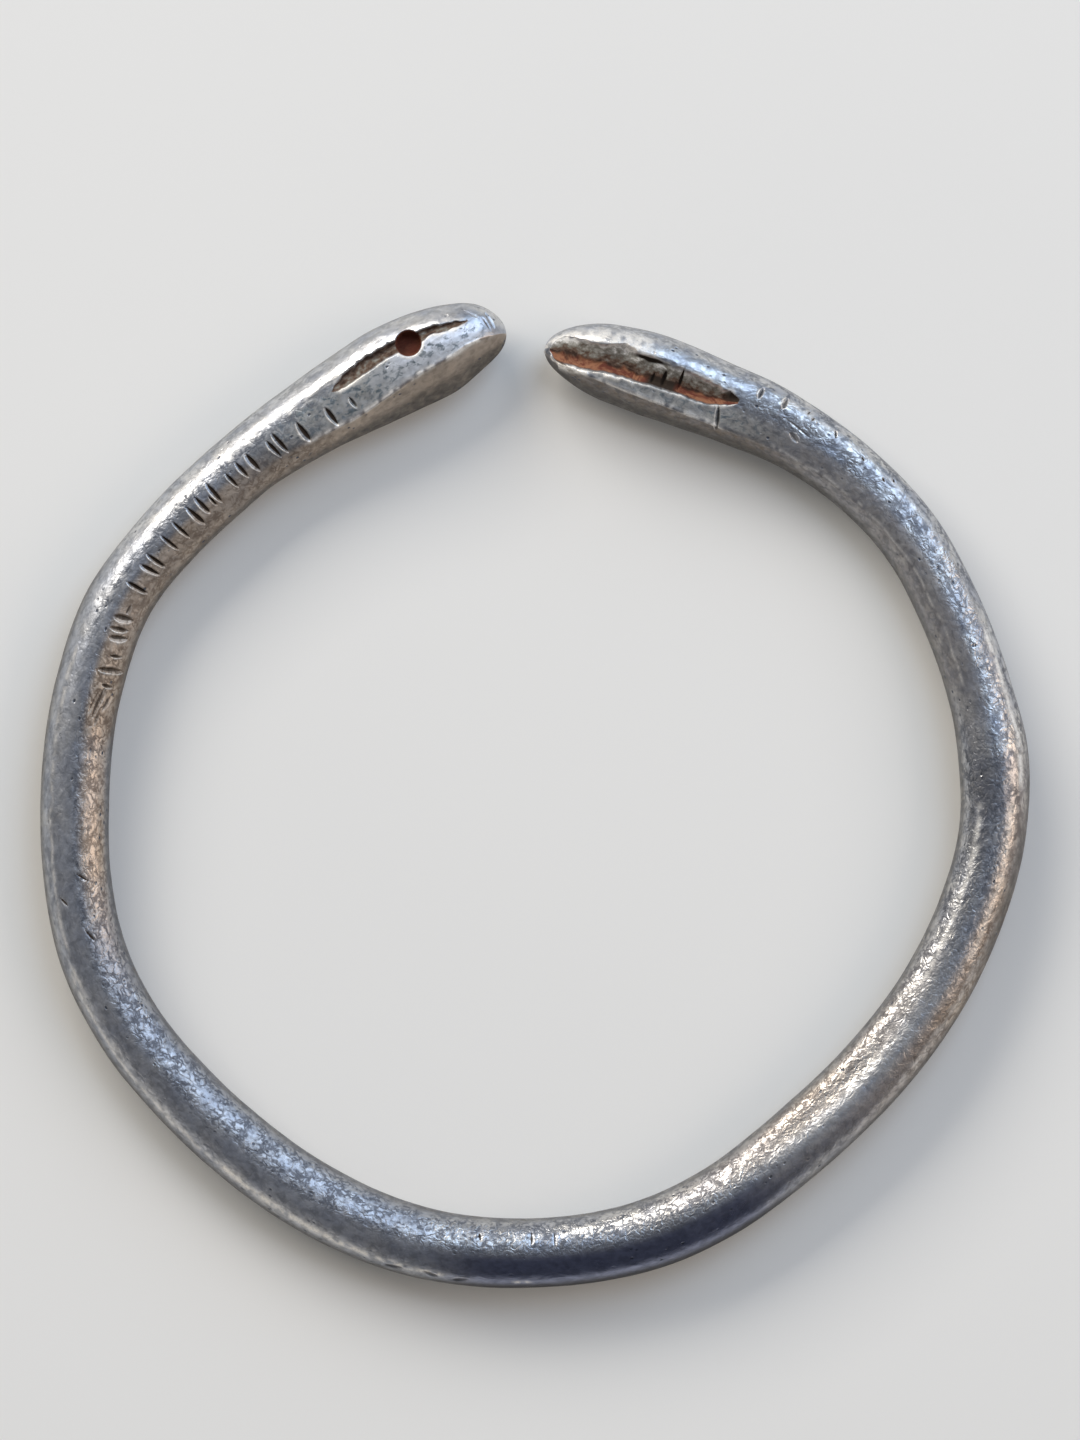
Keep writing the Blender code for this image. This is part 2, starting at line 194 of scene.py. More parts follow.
def unrolled(plain_hoop):
    """Along and turn of points on the plain ring that the tools make, before it gets its true form."""
    x, y, z = (plain_hoop / MM).T
    margin = HALF_MOUTH / 2
    bearing = np.mod(np.arctan2(y, x) - FIRST_BEARING + margin, 2 * math.pi) - margin
    places, rings = np.array(STRETCHES).T
    drawn_out = ROD_LENGTH + TIP_CROWDING
    run = np.interp(bearing / ROD_TURN, rings / rings[-1], places * drawn_out / ROD_LENGTH)
    left_half = run < drawn_out / 2
    from_end = np.where(left_half, run, drawn_out - run)
    closing_up = from_end**2 / (2 * TIP_CROWDING)
    to_tip = np.where(from_end < TIP_CROWDING, closing_up, from_end - TIP_CROWDING / 2)
    swing = np.arctan2(z, np.hypot(x, y) - HOOP_RADIUS)
    turn = np.mod(np.degrees(swing + TOP_CROWDING * np.cos(swing)), 360)
    return np.where(left_half, to_tip, ROD_LENGTH - to_tip), turn


bpy.ops.object.select_all(action="DESELECT")
bpy.ops.mesh.primitive_circle_add(
    vertices=SIDES,
    radius=ROD_WIDTH / 2 * MM,
    fill_type="NOTHING",
    rotation=(math.pi / 2, 0, FIRST_BEARING),
)
bracelet = bpy.context.object
bracelet.name = bracelet.data.name = "silver_bracelet"
bpy.ops.object.transform_apply()
bpy.ops.object.mode_set(mode="EDIT")
bpy.ops.mesh.select_all(action="SELECT")
bpy.ops.transform.translate(
    value=(HOOP_RADIUS * MM * math.cos(FIRST_BEARING), HOOP_RADIUS * MM * math.sin(FIRST_BEARING), 0)
)
bpy.ops.object.mode_set(mode="OBJECT")
turning = bracelet.modifiers.new("turning", "SCREW")
turning.angle = ROD_TURN
turning.steps = turning.render_steps = STRETCHES[-1][1]
turning.merge_threshold = 0
bpy.ops.object.modifier_apply(modifier="turning")


# The marks
# Everything cut into the silver with a graver, a chisel and a drill, each given by its place along and
# across the rod. The heads carry the same graved line and eye underneath, and the nicks are on top alone.
PERCENT = ROD_LENGTH / 100
EYE = (3.39 * PERCENT, 1.24)
EYE_RADIUS = 0.94
EYE_DEPTH = 1.2
EYE_WALL = 0.16  # how far in from its rim the drilled wall reaches the floor
LEFT_LINE_DEPTH = 0.42
RIGHT_LINE_DEPTH = 1.0
NICK_LENGTH = 1.6
NICK_WIDTH = 0.42
NICK_DEPTH = 0.26
NEAR_REACH = 0.3  # how far round each mark the mesh is made finer
LIP_REACH = 0.12  # how far round the lips, the eye and the nicks it is made finer still
STREAK_MARGIN = 3  # degrees of finer mesh to each side of a rubbed streak
MARKED_ARC = 75  # degrees to each side of the top, and of the bottom, within which the marks lie

# A graved line's lips and floor: (percent of the way round, across), and the depth along it as a share
Line = namedtuple("Line", "outer inner floor depth share")
LEFT_LINE = Line(
    outer=[
        (1.22, 1.21), (1.60, 1.48), (2.14, 1.73), (2.52, 1.80), (2.87, 1.80), (3.93, 1.78), (4.47, 1.74),
        (5.08, 1.65), (5.68, 1.46), (6.20, 1.10), (6.52, 0.72),
    ],
    inner=[
        (1.22, 1.19), (1.63, 1.11), (2.20, 1.10), (2.59, 1.21), (2.97, 0.94), (4.00, 0.87), (4.56, 0.78),
        (5.16, 0.62), (5.75, 0.50), (6.20, 0.48), (6.52, 0.68),
    ],
    floor=[(1.22, 0.6), (6.52, 0.62)],
    depth=LEFT_LINE_DEPTH,
    share=[
        (1.25, 0.0), (1.70, 0.5), (2.20, 0.8), (2.8, 1.0), (4.6, 1.0), (5.1, 0.85), (5.9, 0.55), (6.5, 0.0),
    ],
)
RIGHT_LINE = Line(
    outer=[
        (92.65, 0.50), (93.02, 0.76), (93.65, 0.88), (94.27, 0.95), (94.90, 1.03), (95.63, 1.04),
        (96.11, 1.13), (96.58, 1.10), (97.11, 1.50), (97.65, 1.22), (98.26, 1.07), (98.73, 1.15),
        (99.21, 1.20), (99.60, 0.75), (99.84, 0.12),
    ],
    inner=[
        (92.65, 0.20), (92.80, -0.02), (93.33, -0.41), (93.92, -0.68), (94.56, -0.71), (95.19, -0.79),
        (95.82, -0.80), (96.45, -0.88), (97.08, -0.86), (97.70, -0.86), (98.61, -0.96), (99.52, -0.72),
        (99.84, 0.02),
    ],
    floor=[(92.65, 0.5), (94.0, 0.38), (96.0, 0.24), (98.0, 0.3), (99.84, 0.5)],
    depth=RIGHT_LINE_DEPTH,
    share=[
        (92.68, 0.0), (92.9, 0.3), (93.4, 0.62), (94.3, 0.84), (95.2, 0.93), (96.3, 1.0), (97.2, 1.0),
        (98.0, 0.85), (98.9, 0.6), (99.5, 0.35), (99.82, 0.0),
    ],
)

# The nicks: percent of the way round, middle across as a share of the rod's half width, length as a share
# of NICK_LENGTH, lean of the outer end in degrees, and width as a share of NICK_WIDTH
NICKS = [
    (5.97, -0.28, 0.60, 14, 0.7), (6.92, -0.31, 1.00, 11, 1.2), (8.11, -0.25, 1.06, 6, 1.3),
    (9.06, -0.15, 1.13, 7, 1.0), (9.38, -0.20, 0.97, 8, 0.9), (10.30, -0.15, 1.00, 3, 1.2),
    (10.78, -0.11, 0.90, 1, 0.9), (11.31, -0.16, 0.84, 1, 0.9), (12.10, -0.08, 1.09, -5, 1.0),
    (12.34, -0.22, 0.56, -4, 0.6), (12.72, -0.11, 0.97, -4, 1.1), (13.17, -0.19, 1.09, -2, 1.3),
    (13.90, -0.18, 1.06, -5, 0.9), (14.52, -0.18, 1.00, -4, 0.9), (15.34, -0.23, 1.00, -4, 1.0),
    (15.73, -0.26, 0.97, 2, 1.1), (16.52, -0.27, 1.03, -2, 1.0), (17.73, -0.37, 0.84, 9, 1.2),
    (18.15, -0.38, 0.78, 10, 0.9), (18.46, -0.44, 0.78, 15, 1.1), (19.11, -0.55, 0.50, 12, 0.6),
    (19.65, -0.51, 1.06, 11, 1.1), (20.24, -0.54, 0.47, -2, 0.7),
    (89.19, 0.65, 0.36, 36, 0.45), (91.22, 0.65, 0.55, 6, 1.0), (92.12, 0.62, 0.55, 2, 0.8),
    (93.12, -0.50, 1.08, 21, 0.9),
]

# Slips of the graver, ticks, scratches, wrinkles and dents: both ends as (percent, across), width, depth
# and how much soil is in each
SCRATCHES = [
    ((0.67, 1.55), (0.39, 0.33), 0.26, 0.13, 0.5), ((0.78, 1.26), (0.52, 0.20), 0.16, 0.07, 0.6),
    ((1.44, 2.21), (0.90, 1.24), 0.20, 0.06, 0.3),
    ((95.90, 0.20), (95.92, -0.72), 0.36, 0.24, 1.0), ((95.50, 0.62), (95.50, -0.66), 0.54, 0.30, 1.0),
    ((94.92, 1.15), (94.90, -0.50), 0.36, 0.24, 1.0),
    ((17.16, -0.94), (17.56, -0.95), 0.24, 0.09, 0.6), ((19.70, -0.25), (19.98, -0.66), 0.18, 0.06, 0.1),
    ((20.29, -1.22), (21.48, -0.77), 0.36, 0.12, 0.5), ((20.48, -0.84), (21.36, -0.46), 0.24, 0.07, 0.4),
    ((20.51, -1.73), (21.21, -1.34), 0.30, 0.09, 0.5), ((21.30, -1.15), (21.75, -0.95), 0.24, 0.06, 0.4),
    ((26.96, -0.02), (27.33, -0.91), 0.28, 0.09, 1.0), ((27.67, 1.29), (28.03, 0.74), 0.24, 0.08, 1.0),
    ((28.93, -0.05), (29.45, -0.59), 0.28, 0.09, 1.0), ((44.60, 2.05), (45.30, 1.90), 0.30, 0.10, 0.5),
    ((45.90, 1.75), (46.50, 1.95), 0.28, 0.09, 0.5), ((46.90, 2.05), (47.50, 1.85), 0.30, 0.10, 0.5),
    ((47.64, -1.45), (47.72, -0.84), 0.26, 0.07, 0.8), ((49.56, -1.56), (49.57, -0.67), 0.28, 0.08, 0.8),
    ((50.42, -1.47), (50.40, -0.44), 0.28, 0.08, 0.8), ((90.50, -0.08), (90.06, -0.37), 0.42, 0.12, 0.4),
    ((90.87, 0.64), (89.80, 0.31), 0.18, 0.05, 0.4), ((90.38, 1.62), (90.34, 1.98), 0.20, 0.07, 0.7),
    ((90.14, 1.38), (90.10, 1.74), 0.20, 0.07, 0.7), ((88.00, 1.42), (87.84, 1.28), 0.26, 0.07, 0.8),
    ((87.00, 1.30), (86.84, 1.14), 0.26, 0.07, 0.8), ((86.74, 1.72), (86.60, 1.58), 0.24, 0.06, 0.8),
]

# Places hammered nearly flat: middle and half length in percent, middle and half width in degrees over the
# rod, and depth
FACETS = [(62.5, 8.0, 112, 36, 0.32), (31.0, 5.0, 110, 26, 0.06), (84.0, 9.5, 76, 42, 0.12)]

# Pale streaks: edges and ridges rubbed pale by wear, and painted highlights on the rod's sides. From and
# to in percent, the streak's middle and half width in degrees over the rod, and strength
RIDGE_AT = 119.5  # degrees over the rod at which the heads' ridges stand
RUBBED_AND_HIGHLIGHTS = [
    (19.0, 31.0, 50, 4, 0.5), (30.0, 39.0, 42, 4, 0.5), (38.0, 46.8, 43, 6, 1.0), (48.8, 49.7, 38, 3, 1.0),
    (64.0, 69.5, 44, 7, 0.4), (69.0, 75.0, 62, 7, 0.4), (75.2, 81.0, 44, 6, 1.0), (80.5, 91.5, 46, 6, 0.45),
    (79.0, 91.0, 117, 2.5, 0.55), (92.5, 98.2, RIDGE_AT, 3.4, 0.8), (0.3, 2.8, RIDGE_AT, 5, 1.0),
    (2.4, 8.5, RIDGE_AT, 4, 0.85), (67.5, 75.0, 118, 6, 0.6),
]


def near_marks(along, turn, reach):
    """Whether a place lies within reach of a mark, where the mesh is made finer."""
    across, _ = section(along, turn)
    way, spare = along / PERCENT, reach / PERCENT
    from_eye = np.hypot(along - EYE[0], across - EYE[1])
    near = from_eye < EYE_RADIUS + reach
    for line in (LEFT_LINE, RIGHT_LINE):
        outer, inner = smooth(line.outer, way), smooth(line.inner, way)
        if reach == NEAR_REACH:
            by_line = (across < outer + reach) & (across > inner - reach)
        else:
            by_line = np.minimum(np.abs(across - outer), np.abs(across - inner)) < reach
        near |= by_line & (way > line.share[0][0] - spare) & (way < line.share[-1][0] + spare)
    for start, end, width, *_ in straight_cuts():
        out, on = beside(along, across, start, end)
        by_cut = (on > -reach) & (on < math.dist(start, end) + reach)
        near |= by_cut & (np.abs(out) < width / 2 + reach / 2) & (turn < 180)
    over = np.where(turn < 180, turn, 360 - turn)
    if reach == NEAR_REACH:
        for start, end, at, wide, _ in RUBBED_AND_HIGHLIGHTS:
            by_streak = (np.abs(over - at) < wide + STREAK_MARGIN) & (way > start) & (way < end)
            near |= by_streak & (turn < 180)
    off_the_sides = np.abs(over - 90) < MARKED_ARC
    return near & off_the_sides & ((reach == NEAR_REACH) | (turn < 180))


def straight_cuts():
    """Each nick and scratch: both ends as (along, across), width, depth and how much soil is in it."""
    cuts = []
    for percent, across_share, length_share, lean, width_share in NICKS:
        along, across = percent * PERCENT, across_share * ROD_WIDTH / 2
        half, lean = NICK_LENGTH * length_share / 2, math.radians(lean)
        run, rise = half * math.sin(lean), half * math.cos(lean)
        start, end = (along - run, across - rise), (along + run, across + rise)
        filled = 1.0 if 6 < percent < 17 else 0.6  # most soil has stayed behind the left head
        cuts.append((start, end, NICK_WIDTH * width_share, NICK_DEPTH, filled))
    for (percent, across), (end_percent, end_across), width, depth, filled in SCRATCHES:
        start, end = (percent * PERCENT, across), (end_percent * PERCENT, end_across)
        cuts.append((start, end, width, depth, filled))
    return cuts


def beside(along, across, start, end):
    """How far a place lies to the side of the line from start to end, and how far along that line."""
    length = math.dist(start, end)
    run, rise = (end[0] - start[0]) / length, (end[1] - start[1]) / length
    x, y = along - start[0], across - start[1]
    return y * run - x * rise, x * run + y * rise


# Two rounds of halving give the marks a mesh fine enough for their lips
for reach in (NEAR_REACH, LIP_REACH):
    bpy.ops.object.mode_set(mode="EDIT")
    bpy.ops.mesh.select_mode(type="FACE")
    bpy.ops.mesh.select_all(action="DESELECT")
    bpy.ops.object.mode_set(mode="OBJECT")
    centres = np.empty(len(bracelet.data.polygons) * 3)
    bracelet.data.polygons.foreach_get("center", centres)
    bracelet.data.polygons.foreach_set("select", near_marks(*unrolled(centres.reshape(-1, 3)), reach))
    bpy.ops.object.mode_set(mode="EDIT")
    bpy.ops.mesh.subdivide(number_cuts=1, ngon=False)
    bpy.ops.object.mode_set(mode="OBJECT")

count = len(bracelet.data.vertices)
plain_hoop = np.empty(count * 3)
bracelet.data.vertices.foreach_get("co", plain_hoop)
along, turn = unrolled(plain_hoop.reshape(-1, 3))
way = along / PERCENT
across, up = section(along, turn)
above = turn < 180
over = np.where(above, turn, 360 - turn)

# The true form: every point goes to its place in its section, on the bend of the hoop
bearing = FIRST_BEARING + along / HOOP_RADIUS
bend = HOOP_RADIUS * smooth(BEND, way)
_, half_height = half_sizes(along)
level = np.maximum(half_height + up, WEAR_DEPTH)
place = np.stack([(bend + across) * np.cos(bearing), (bend + across) * np.sin(bearing), level], axis=1)
low, high = place.min(axis=0), place.max(axis=0)
place -= ((low[0] + high[0]) / 2, (low[1] + high[1]) / 2, low[2])
bracelet.data.vertices.foreach_set("co", (place * MM).ravel())
bracelet.data.update()
skin = np.empty(count * 3)
bracelet.data.vertices.foreach_get("normal", skin)
skin = skin.reshape(-1, 3)
# The normals are to point out of the silver, whichever way the turning left them
if np.mean(np.sum(skin * place * (above * (place[:, 2] > 3))[:, None], axis=1)) < 0:
    skin = -skin

# Where each point would lie on the rod before it was bent
straight_rod = np.stack([along, across, up], axis=1)


def mottle(size, seed=0.0):
    """Soft bumps from -1 to 1 over the skin, about size millimetres apart."""
    shift = Vector((seed, seed, seed))
    return np.array([noise.noise(Vector(point) / size + shift) for point in straight_rod])


fine, coarse = mottle(0.45), np.clip(1.5 * mottle(1.6, 7.0), -1, 1)
dug = np.zeros(count)  # how deep the graved lines and the eye go straight down
cut = np.zeros(count)  # how deep the chisel and scratches go square to the skin
soil_and_shade = np.zeros(count)
rust = np.zeros(count)  # where the soil is red
filmed = np.zeros(count)  # where a cut's walls have kept a dull film
bright = np.zeros(count)  # where lips, burrs and edges are rubbed bright, and where highlights are painted
wall = np.zeros(count)  # how far up a cut's wall towards its pale upper edge, painted darker towards the floor as shade
burr = np.zeros(count)
lumps = mottle(0.75, 11.0)
LIP_RAGGED = 0.08
for line in (LEFT_LINE, RIGHT_LINE):
    first, last = line.share[0][0], line.share[-1][0]
    outer = smooth(line.outer, way) + LIP_RAGGED * (1.3 * fine + 0.3 * coarse)
    inner = smooth(line.inner, way) + LIP_RAGGED * (0.9 * fine + 0.4 * coarse)
    share = np.clip((across - inner) / np.maximum(outer - inner, 0.02), 0, 1)
    floor = smooth(line.floor, way)
    rise = np.where(share < floor, share / floor, (1 - share) / (1 - floor))
    on_line = (way > first) & (way < last) & (share > 0) & (share < 1)
    depth = line.depth * smooth(line.share, way) * np.sin(np.pi / 2 * np.clip(rise, 0, 1) ** 0.75)
    dug = np.where(on_line, np.maximum(dug, depth * (1 + 0.12 * coarse)), dug)
    lip = hump(-0.06, 0.10 + 0.06 * np.clip(2 * lumps, -0.5, 1), across - inner)
    lip = lip + 0.5 * hump(0.08, 0.12, across - outer)
    by_line = between(first, first + 0.3, last - 0.3, last, way)
    bright = np.maximum(bright, np.clip(lip * by_line * (0.7 + 0.9 * fine + 0.6 * coarse), 0, 1))
    filmed = np.maximum(filmed, between(0.0, 0.12, 0.88, 1.0, share) * on_line)
    if line is RIGHT_LINE:
        # Red soil has stayed along the floor, and fallen out where the three ticks cross it
        ragged = share + 0.18 * coarse + 0.16 * fine
        crust = ease(0.0, 0.16, share) * (1 - ease(0.26, 0.56, ragged)) * on_line
        crumbled = way + 0.1 * coarse
        kept = np.maximum(ease(95.9, 96.5, crumbled), 1 - ease(94.75, 95.2, crumbled))
        rust = np.maximum(rust, 0.8 * crust * (0.1 + 0.9 * kept))
        # Painted shade: the floor is dark where the red soil has fallen out, and at the line's rear end
        soil_and_shade = np.maximum(soil_and_shade, crust * (1 - kept) * 0.9)
        soil_and_shade = np.maximum(soil_and_shade, 0.9 * on_line * (1 - ease(92.9, 93.5, way)) * ease(0.2, 0.6, share))
        wall = np.where(on_line, np.clip((share - floor) / (1 - floor), 0, 1), wall)
        blobs = hump(-0.15, 0.17, across - inner) * ease(96.0, 97.0, way)
        blobs = blobs * np.clip(3.5 * lumps + 0.3, 0, 1)
        burr = np.maximum(burr, 0.10 * blobs)
        bright = np.maximum(bright, blobs)
    else:
        # The left line's film is painted dark under its outer lip as shade
        wall = np.where(on_line, 0.34 * (1 - ease(0.55, 0.95, share)), wall)

# A pocket where the graver dug in under the outer lip of the right line, painted dark as the shadow under
# that lip
POCKET = (96.2, 0.93)
POCKET_DEPTH = 0.35
pocket = hump(POCKET[0], 0.55, way) * hump(POCKET[1], 0.13, across + 0.06 * fine) * above
dug = dug + POCKET_DEPTH * pocket
soil_and_shade = np.maximum(soil_and_shade, np.clip(1.5 * pocket, 0, 1))

# The eye is drilled straight down, so it is round as seen from above
eye_bearing = FIRST_BEARING + EYE[0] / HOOP_RADIUS
eye_reach = HOOP_RADIUS * smooth(BEND, EYE[0] / PERCENT) + EYE[1]
from_eye = np.hypot(
    (bend + across) * np.cos(bearing) - eye_reach * math.cos(eye_bearing),
    (bend + across) * np.sin(bearing) - eye_reach * math.sin(eye_bearing),
)
drilled = 1 - ease(EYE_RADIUS - EYE_WALL, EYE_RADIUS, from_eye)
dug = np.maximum(dug, EYE_DEPTH * drilled + dug * (1 - drilled))
rust = np.maximum(rust, 1 - ease(EYE_RADIUS - 0.10, EYE_RADIUS, from_eye))
rim = hump(EYE_RADIUS + 0.07, 0.08, from_eye) * (0.55 - 0.45 * np.sign(across - EYE[1]))
bright = np.clip(np.maximum(bright, rim), 0, 1) * (from_eye > EYE_RADIUS - 0.08)

# The chisel leant, so a nick is deepest off its middle and its burr lies on the gentle side
BURR = 0.04
STEEP_SIDE = 0.35
for start, end, width, depth, filled in straight_cuts():
    out, on = beside(along, across, start, end)
    length = math.dist(start, end)
    tail = np.sqrt(np.clip(1 - (2 * on / length - 1) ** 2, 0, 1))
    # The lips are at -1 and 1, and a nick has 1 on the side of the left head's tip
    side = out / (width / 2 * (1 + 0.25 * coarse) * np.maximum(tail, 0.3))
    steep, gentle = (1 - side) / (1 - STEEP_SIDE), (1 + side) / (1 + STEEP_SIDE)
    groove = np.clip(np.where(side > STEEP_SIDE, steep, gentle), 0, 1) * tail * above
    cut = np.maximum(cut, depth * groove**1.1)
    soil_and_shade = np.maximum(soil_and_shade, filled * ease(0.2, 0.62, groove))
    thrown = hump(-1.2, 0.28, side) + 0.15 * hump(1.2, 0.25, side)
    thrown = thrown * tail**0.5 * above * np.clip(0.8 + 0.8 * fine, 0, 1.4) * depth / NICK_DEPTH
    burr = np.maximum(burr, thrown * BURR)
    bright = np.maximum(bright, np.clip(thrown, 0, 1) * (np.abs(side) > 0.95))

HAMMERED = 0.04
WAVY = 0.009
GRAINY = 0.003
RIDGE_LINE = 0.05
calm = 1 - 0.85 * np.clip(soil_and_shade + rust, 0, 1)
unevenness = HAMMERED * mottle(5.5, 3.0) + WAVY * coarse + GRAINY * fine * calm
on_head = np.maximum(1 - ease(5, 8, way), ease(91, 93, way))
unevenness = unevenness + RIDGE_LINE * on_head * hump(RIDGE_AT, 3, over) * above * (0.7 + fine)
for middle, reach, at, wide, depth in FACETS:
    lengthways = np.cos(np.pi / 2 * np.clip((way - middle) / reach, -1, 1)) ** 2
    crossways = np.cos(np.pi / 2 * np.clip((over - at) / wide, -1, 1)) ** 2
    unevenness = unevenness - depth * crossways * above * lengthways
to_nearest_tip = np.minimum(along, ROD_LENGTH - along)
unevenness = unevenness * ease(0.0, 1.2, to_nearest_tip) * ease(0.0, 0.6, level - WEAR_DEPTH)
place += skin * (burr + unevenness - cut)[:, None]
place[:, 2] += dug * np.where(above, -1, 1)
bracelet.data.vertices.foreach_set("co", (place * MM).ravel())
bpy.ops.object.mode_set(mode="EDIT")
bpy.ops.mesh.select_all(action="SELECT")
bpy.ops.object.mode_set(mode="OBJECT")

# The finish: masks from 0 to 1 that the silver's material reads. The dark flank is partly patina and partly
# painted shade, and the outer sides that face the light keep a narrower dark flank than the others.
from_side = np.minimum(over, 180 - over)
lit_side = (over < 90) * np.maximum(1 - ease(14, 18, way), ease(75, 79, way))
shaded_flank = (1 - lit_side) * (1 - ease(14, 42, from_side)) + lit_side * (1 - ease(2, 24, from_side))
# Painted shade: the dark outer flank reaches further in on the lower part of the right arm
shaded_flank = np.maximum(shaded_flank, (1 - ease(30, 54, over)) * between(67.5, 70, 73.5, 75.5, way))
underside = np.where(above, 0, between(0, 30, 150, 180, over))
patina_and_shade = np.maximum(shaded_flank, 0.8 * underside)
inward, outward = ease(80, 94, over), 1 - ease(84, 98, over)
# Painted reflection of a shadow: a dark bluish band over the outer top of the bottom arm
mirrored_shadow = between(45.5, 48.5, 57, 60, way) * (1 - ease(78, 94, over)) * above
haze = 0.9 - 0.8 * ease(44.5, 47.5, way) + 0.5 * ease(75, 79, way)
haze = haze + 0.4 * ease(58, 61, way) * (1 - ease(94, 108, over))
haze = haze - 0.6 * (1 - ease(14, 18, way)) * (1 - ease(66, 80, over)) - 0.9 * ease(74, 78, way) * outward
haze = np.clip(haze * (0.9 + 0.3 * coarse), 0, 1) * above
# Tan toning laid where the warm lights' highlights fall: partly the silver's tone, partly a painted warm
# highlight
tan_band_and_highlight = hump(25.3, 3.6, way) * between(92, 110, 140, 165, over)
crackled = 0.15 + 0.25 * ease(5, 9, way) + 0.6 * between(5, 9, 76, 79, way) * inward
crackled = crackled + 0.4 * between(63, 66, 91, 94, way) * outward
crackled = crackled + 0.8 * hump(74, 7, over) * between(6, 8, 17, 20, way)
crackled = crackled - 0.4 * mirrored_shadow - 0.25 * tan_band_and_highlight - 0.35 * (1 - ease(17, 21, way)) * inward
crackled = np.clip(crackled, 0, 1) * (1 - 0.6 * shaded_flank) * above
etched = between(0.5, 1.0, 8, 11, way) * between(62, 76, 112, 121, over)
etched = np.maximum(etched, between(89, 93, 99.2, 99.8, way) * between(84, 96, 114, 121, over))
# The left head's face near the snout gets a painted bluish highlight, and the other etched places are grey
pale_face_highlight = (1 - ease(3.2, 5.5, way)) * (1 - 0.45 * ease(90, 100, over))
brown = 0.55 * between(76, 80, 92, 94, way) * inward * (1 - ease(150, 168, over))
brown = np.maximum(brown, 0.8 * between(7, 10, 21, 23, way) * ease(82, 112, over))
for head, from_tip in heads_at(along):
    by_head = 1 - ease(head.length, 1.8 * head.length, from_tip)
    brown = np.maximum(brown, ease(117, 125, over) * by_head)
brown = brown * above
# The warm mask: tan toning and painted warm highlights on the sides that face the warm lights
orange_side = np.maximum(ease(9, 12, way) * ease(90, 104, over), ease(112, 126, over))
warm = tan_band_and_highlight + (1 - ease(21, 23, way)) * orange_side
warm = warm + hump(69, 6, way) * (1 - ease(55, 85, over))
warm = warm + 0.6 * hump(62, 6, way) * between(95, 115, 150, 170, over)
# Rubbed ridges and edges, and painted highlights on the rod's sides, which also thin the dark flank under
# them
for start, end, at, wide, strength in RUBBED_AND_HIGHLIGHTS:
    streak = strength * hump(at, wide, over - 2.5 * coarse) * above
    streak = streak * between(start, start + 0.4, end - 0.4, end, way)
    bright = np.maximum(bright, streak * np.clip(1.0 + 2.2 * fine + 0.6 * coarse, 0, 1))
    patina_and_shade = patina_and_shade * (1 - 0.6 * streak)
# A painted highlight on the shoulder of the lower right arm
shoulder_highlight = between(54, 62, 65, 73, way) * between(46, 78, 112, 146, over) * above
bright = np.maximum(bright, 0.28 * shoulder_highlight * np.clip(0.85 + 0.7 * fine + 0.25 * coarse, 0, 1))
# A painted highlight on the right head's outer cheek near its tip
snout_rim_highlight = ease(95.5, 96.6, way) * between(24, 46, 72, 84, over) * above
bright = np.maximum(bright, snout_rim_highlight * np.clip(0.7 + 1.1 * fine, 0, 0.8))
masks = {
    "soil_and_shade": soil_and_shade, "rust": rust, "bright": bright, "patina_and_shade": patina_and_shade, "warm": np.clip(warm, 0, 1),
    "etched": etched, "pale_face_highlight": pale_face_highlight, "film": filmed, "wall": wall, "haze": haze, "brown": brown,
    "mirrored_shadow": mirrored_shadow, "crackled": crackled,
}
for name, values in masks.items():
    layer = bracelet.data.attributes.new(name, "FLOAT", "POINT")
    layer.data.foreach_set("value", values)
unbent = bracelet.data.attributes.new("straight_rod", "FLOAT_VECTOR", "POINT")
unbent.data.foreach_set("vector", straight_rod.ravel())

SAME_POINT = 0.000002  # points nearer than this, in metres, become one
bpy.ops.object.mode_set(mode="EDIT")
bpy.ops.mesh.select_mode(type="VERT")
bpy.ops.mesh.select_all(action="SELECT")
bpy.ops.mesh.remove_doubles(threshold=SAME_POINT)
bpy.ops.mesh.normals_make_consistent(inside=False)
bpy.ops.object.mode_set(mode="OBJECT")
bpy.ops.object.shade_smooth()


def put(tree, kind, inputs=(), **settings):
    """A new node with these settings, each input holding its value or linked to another node's output."""
    made = tree.nodes.new(kind)
    for name, value in settings.items():
        setattr(made, name, value)
    for name, value in dict(inputs).items():
        if isinstance(value, bpy.types.NodeSocket):
            tree.links.new(value, made.inputs[name])
        else:
            made.inputs[name].default_value = value
    return made


silver = bpy.data.materials.new("worn_silver")
silver.use_nodes = True
tree = silver.node_tree
shader = tree.nodes["Principled BSDF"]


def mask(name):
    return put(tree, "ShaderNodeAttribute", attribute_name=name).outputs["Fac"]


def ramp(value, *stops):
    """A colour ramp through (place, colour or grey) stops."""
    made = put(tree, "ShaderNodeValToRGB", {"Fac": value})
    for i, (at, colour) in enumerate(stops):
        stop = made.color_ramp.elements[i] if i < 2 else made.color_ramp.elements.new(at)
        stop.position = at
        stop.color = (colour, colour, colour, 1) if isinstance(colour, (int, float)) else (*colour, 1)
    return made.outputs["Color"]


def mix(factor, a, b, blend="MIX"):
    made = put(tree, "ShaderNodeMix", data_type="RGBA", blend_type=blend)
    for socket, value in ((made.inputs[0], factor), (made.inputs[6], a), (made.inputs[7], b)):
        if isinstance(value, bpy.types.NodeSocket):
            tree.links.new(value, socket)
        elif isinstance(value, (int, float)):
            socket.default_value = value
        else:
            socket.default_value = (*value, 1)
    return made.outputs[2]


def sums(operation, a, b):
    return put(tree, "ShaderNodeMath", {0: a, 1: b}, operation=operation).outputs[0]


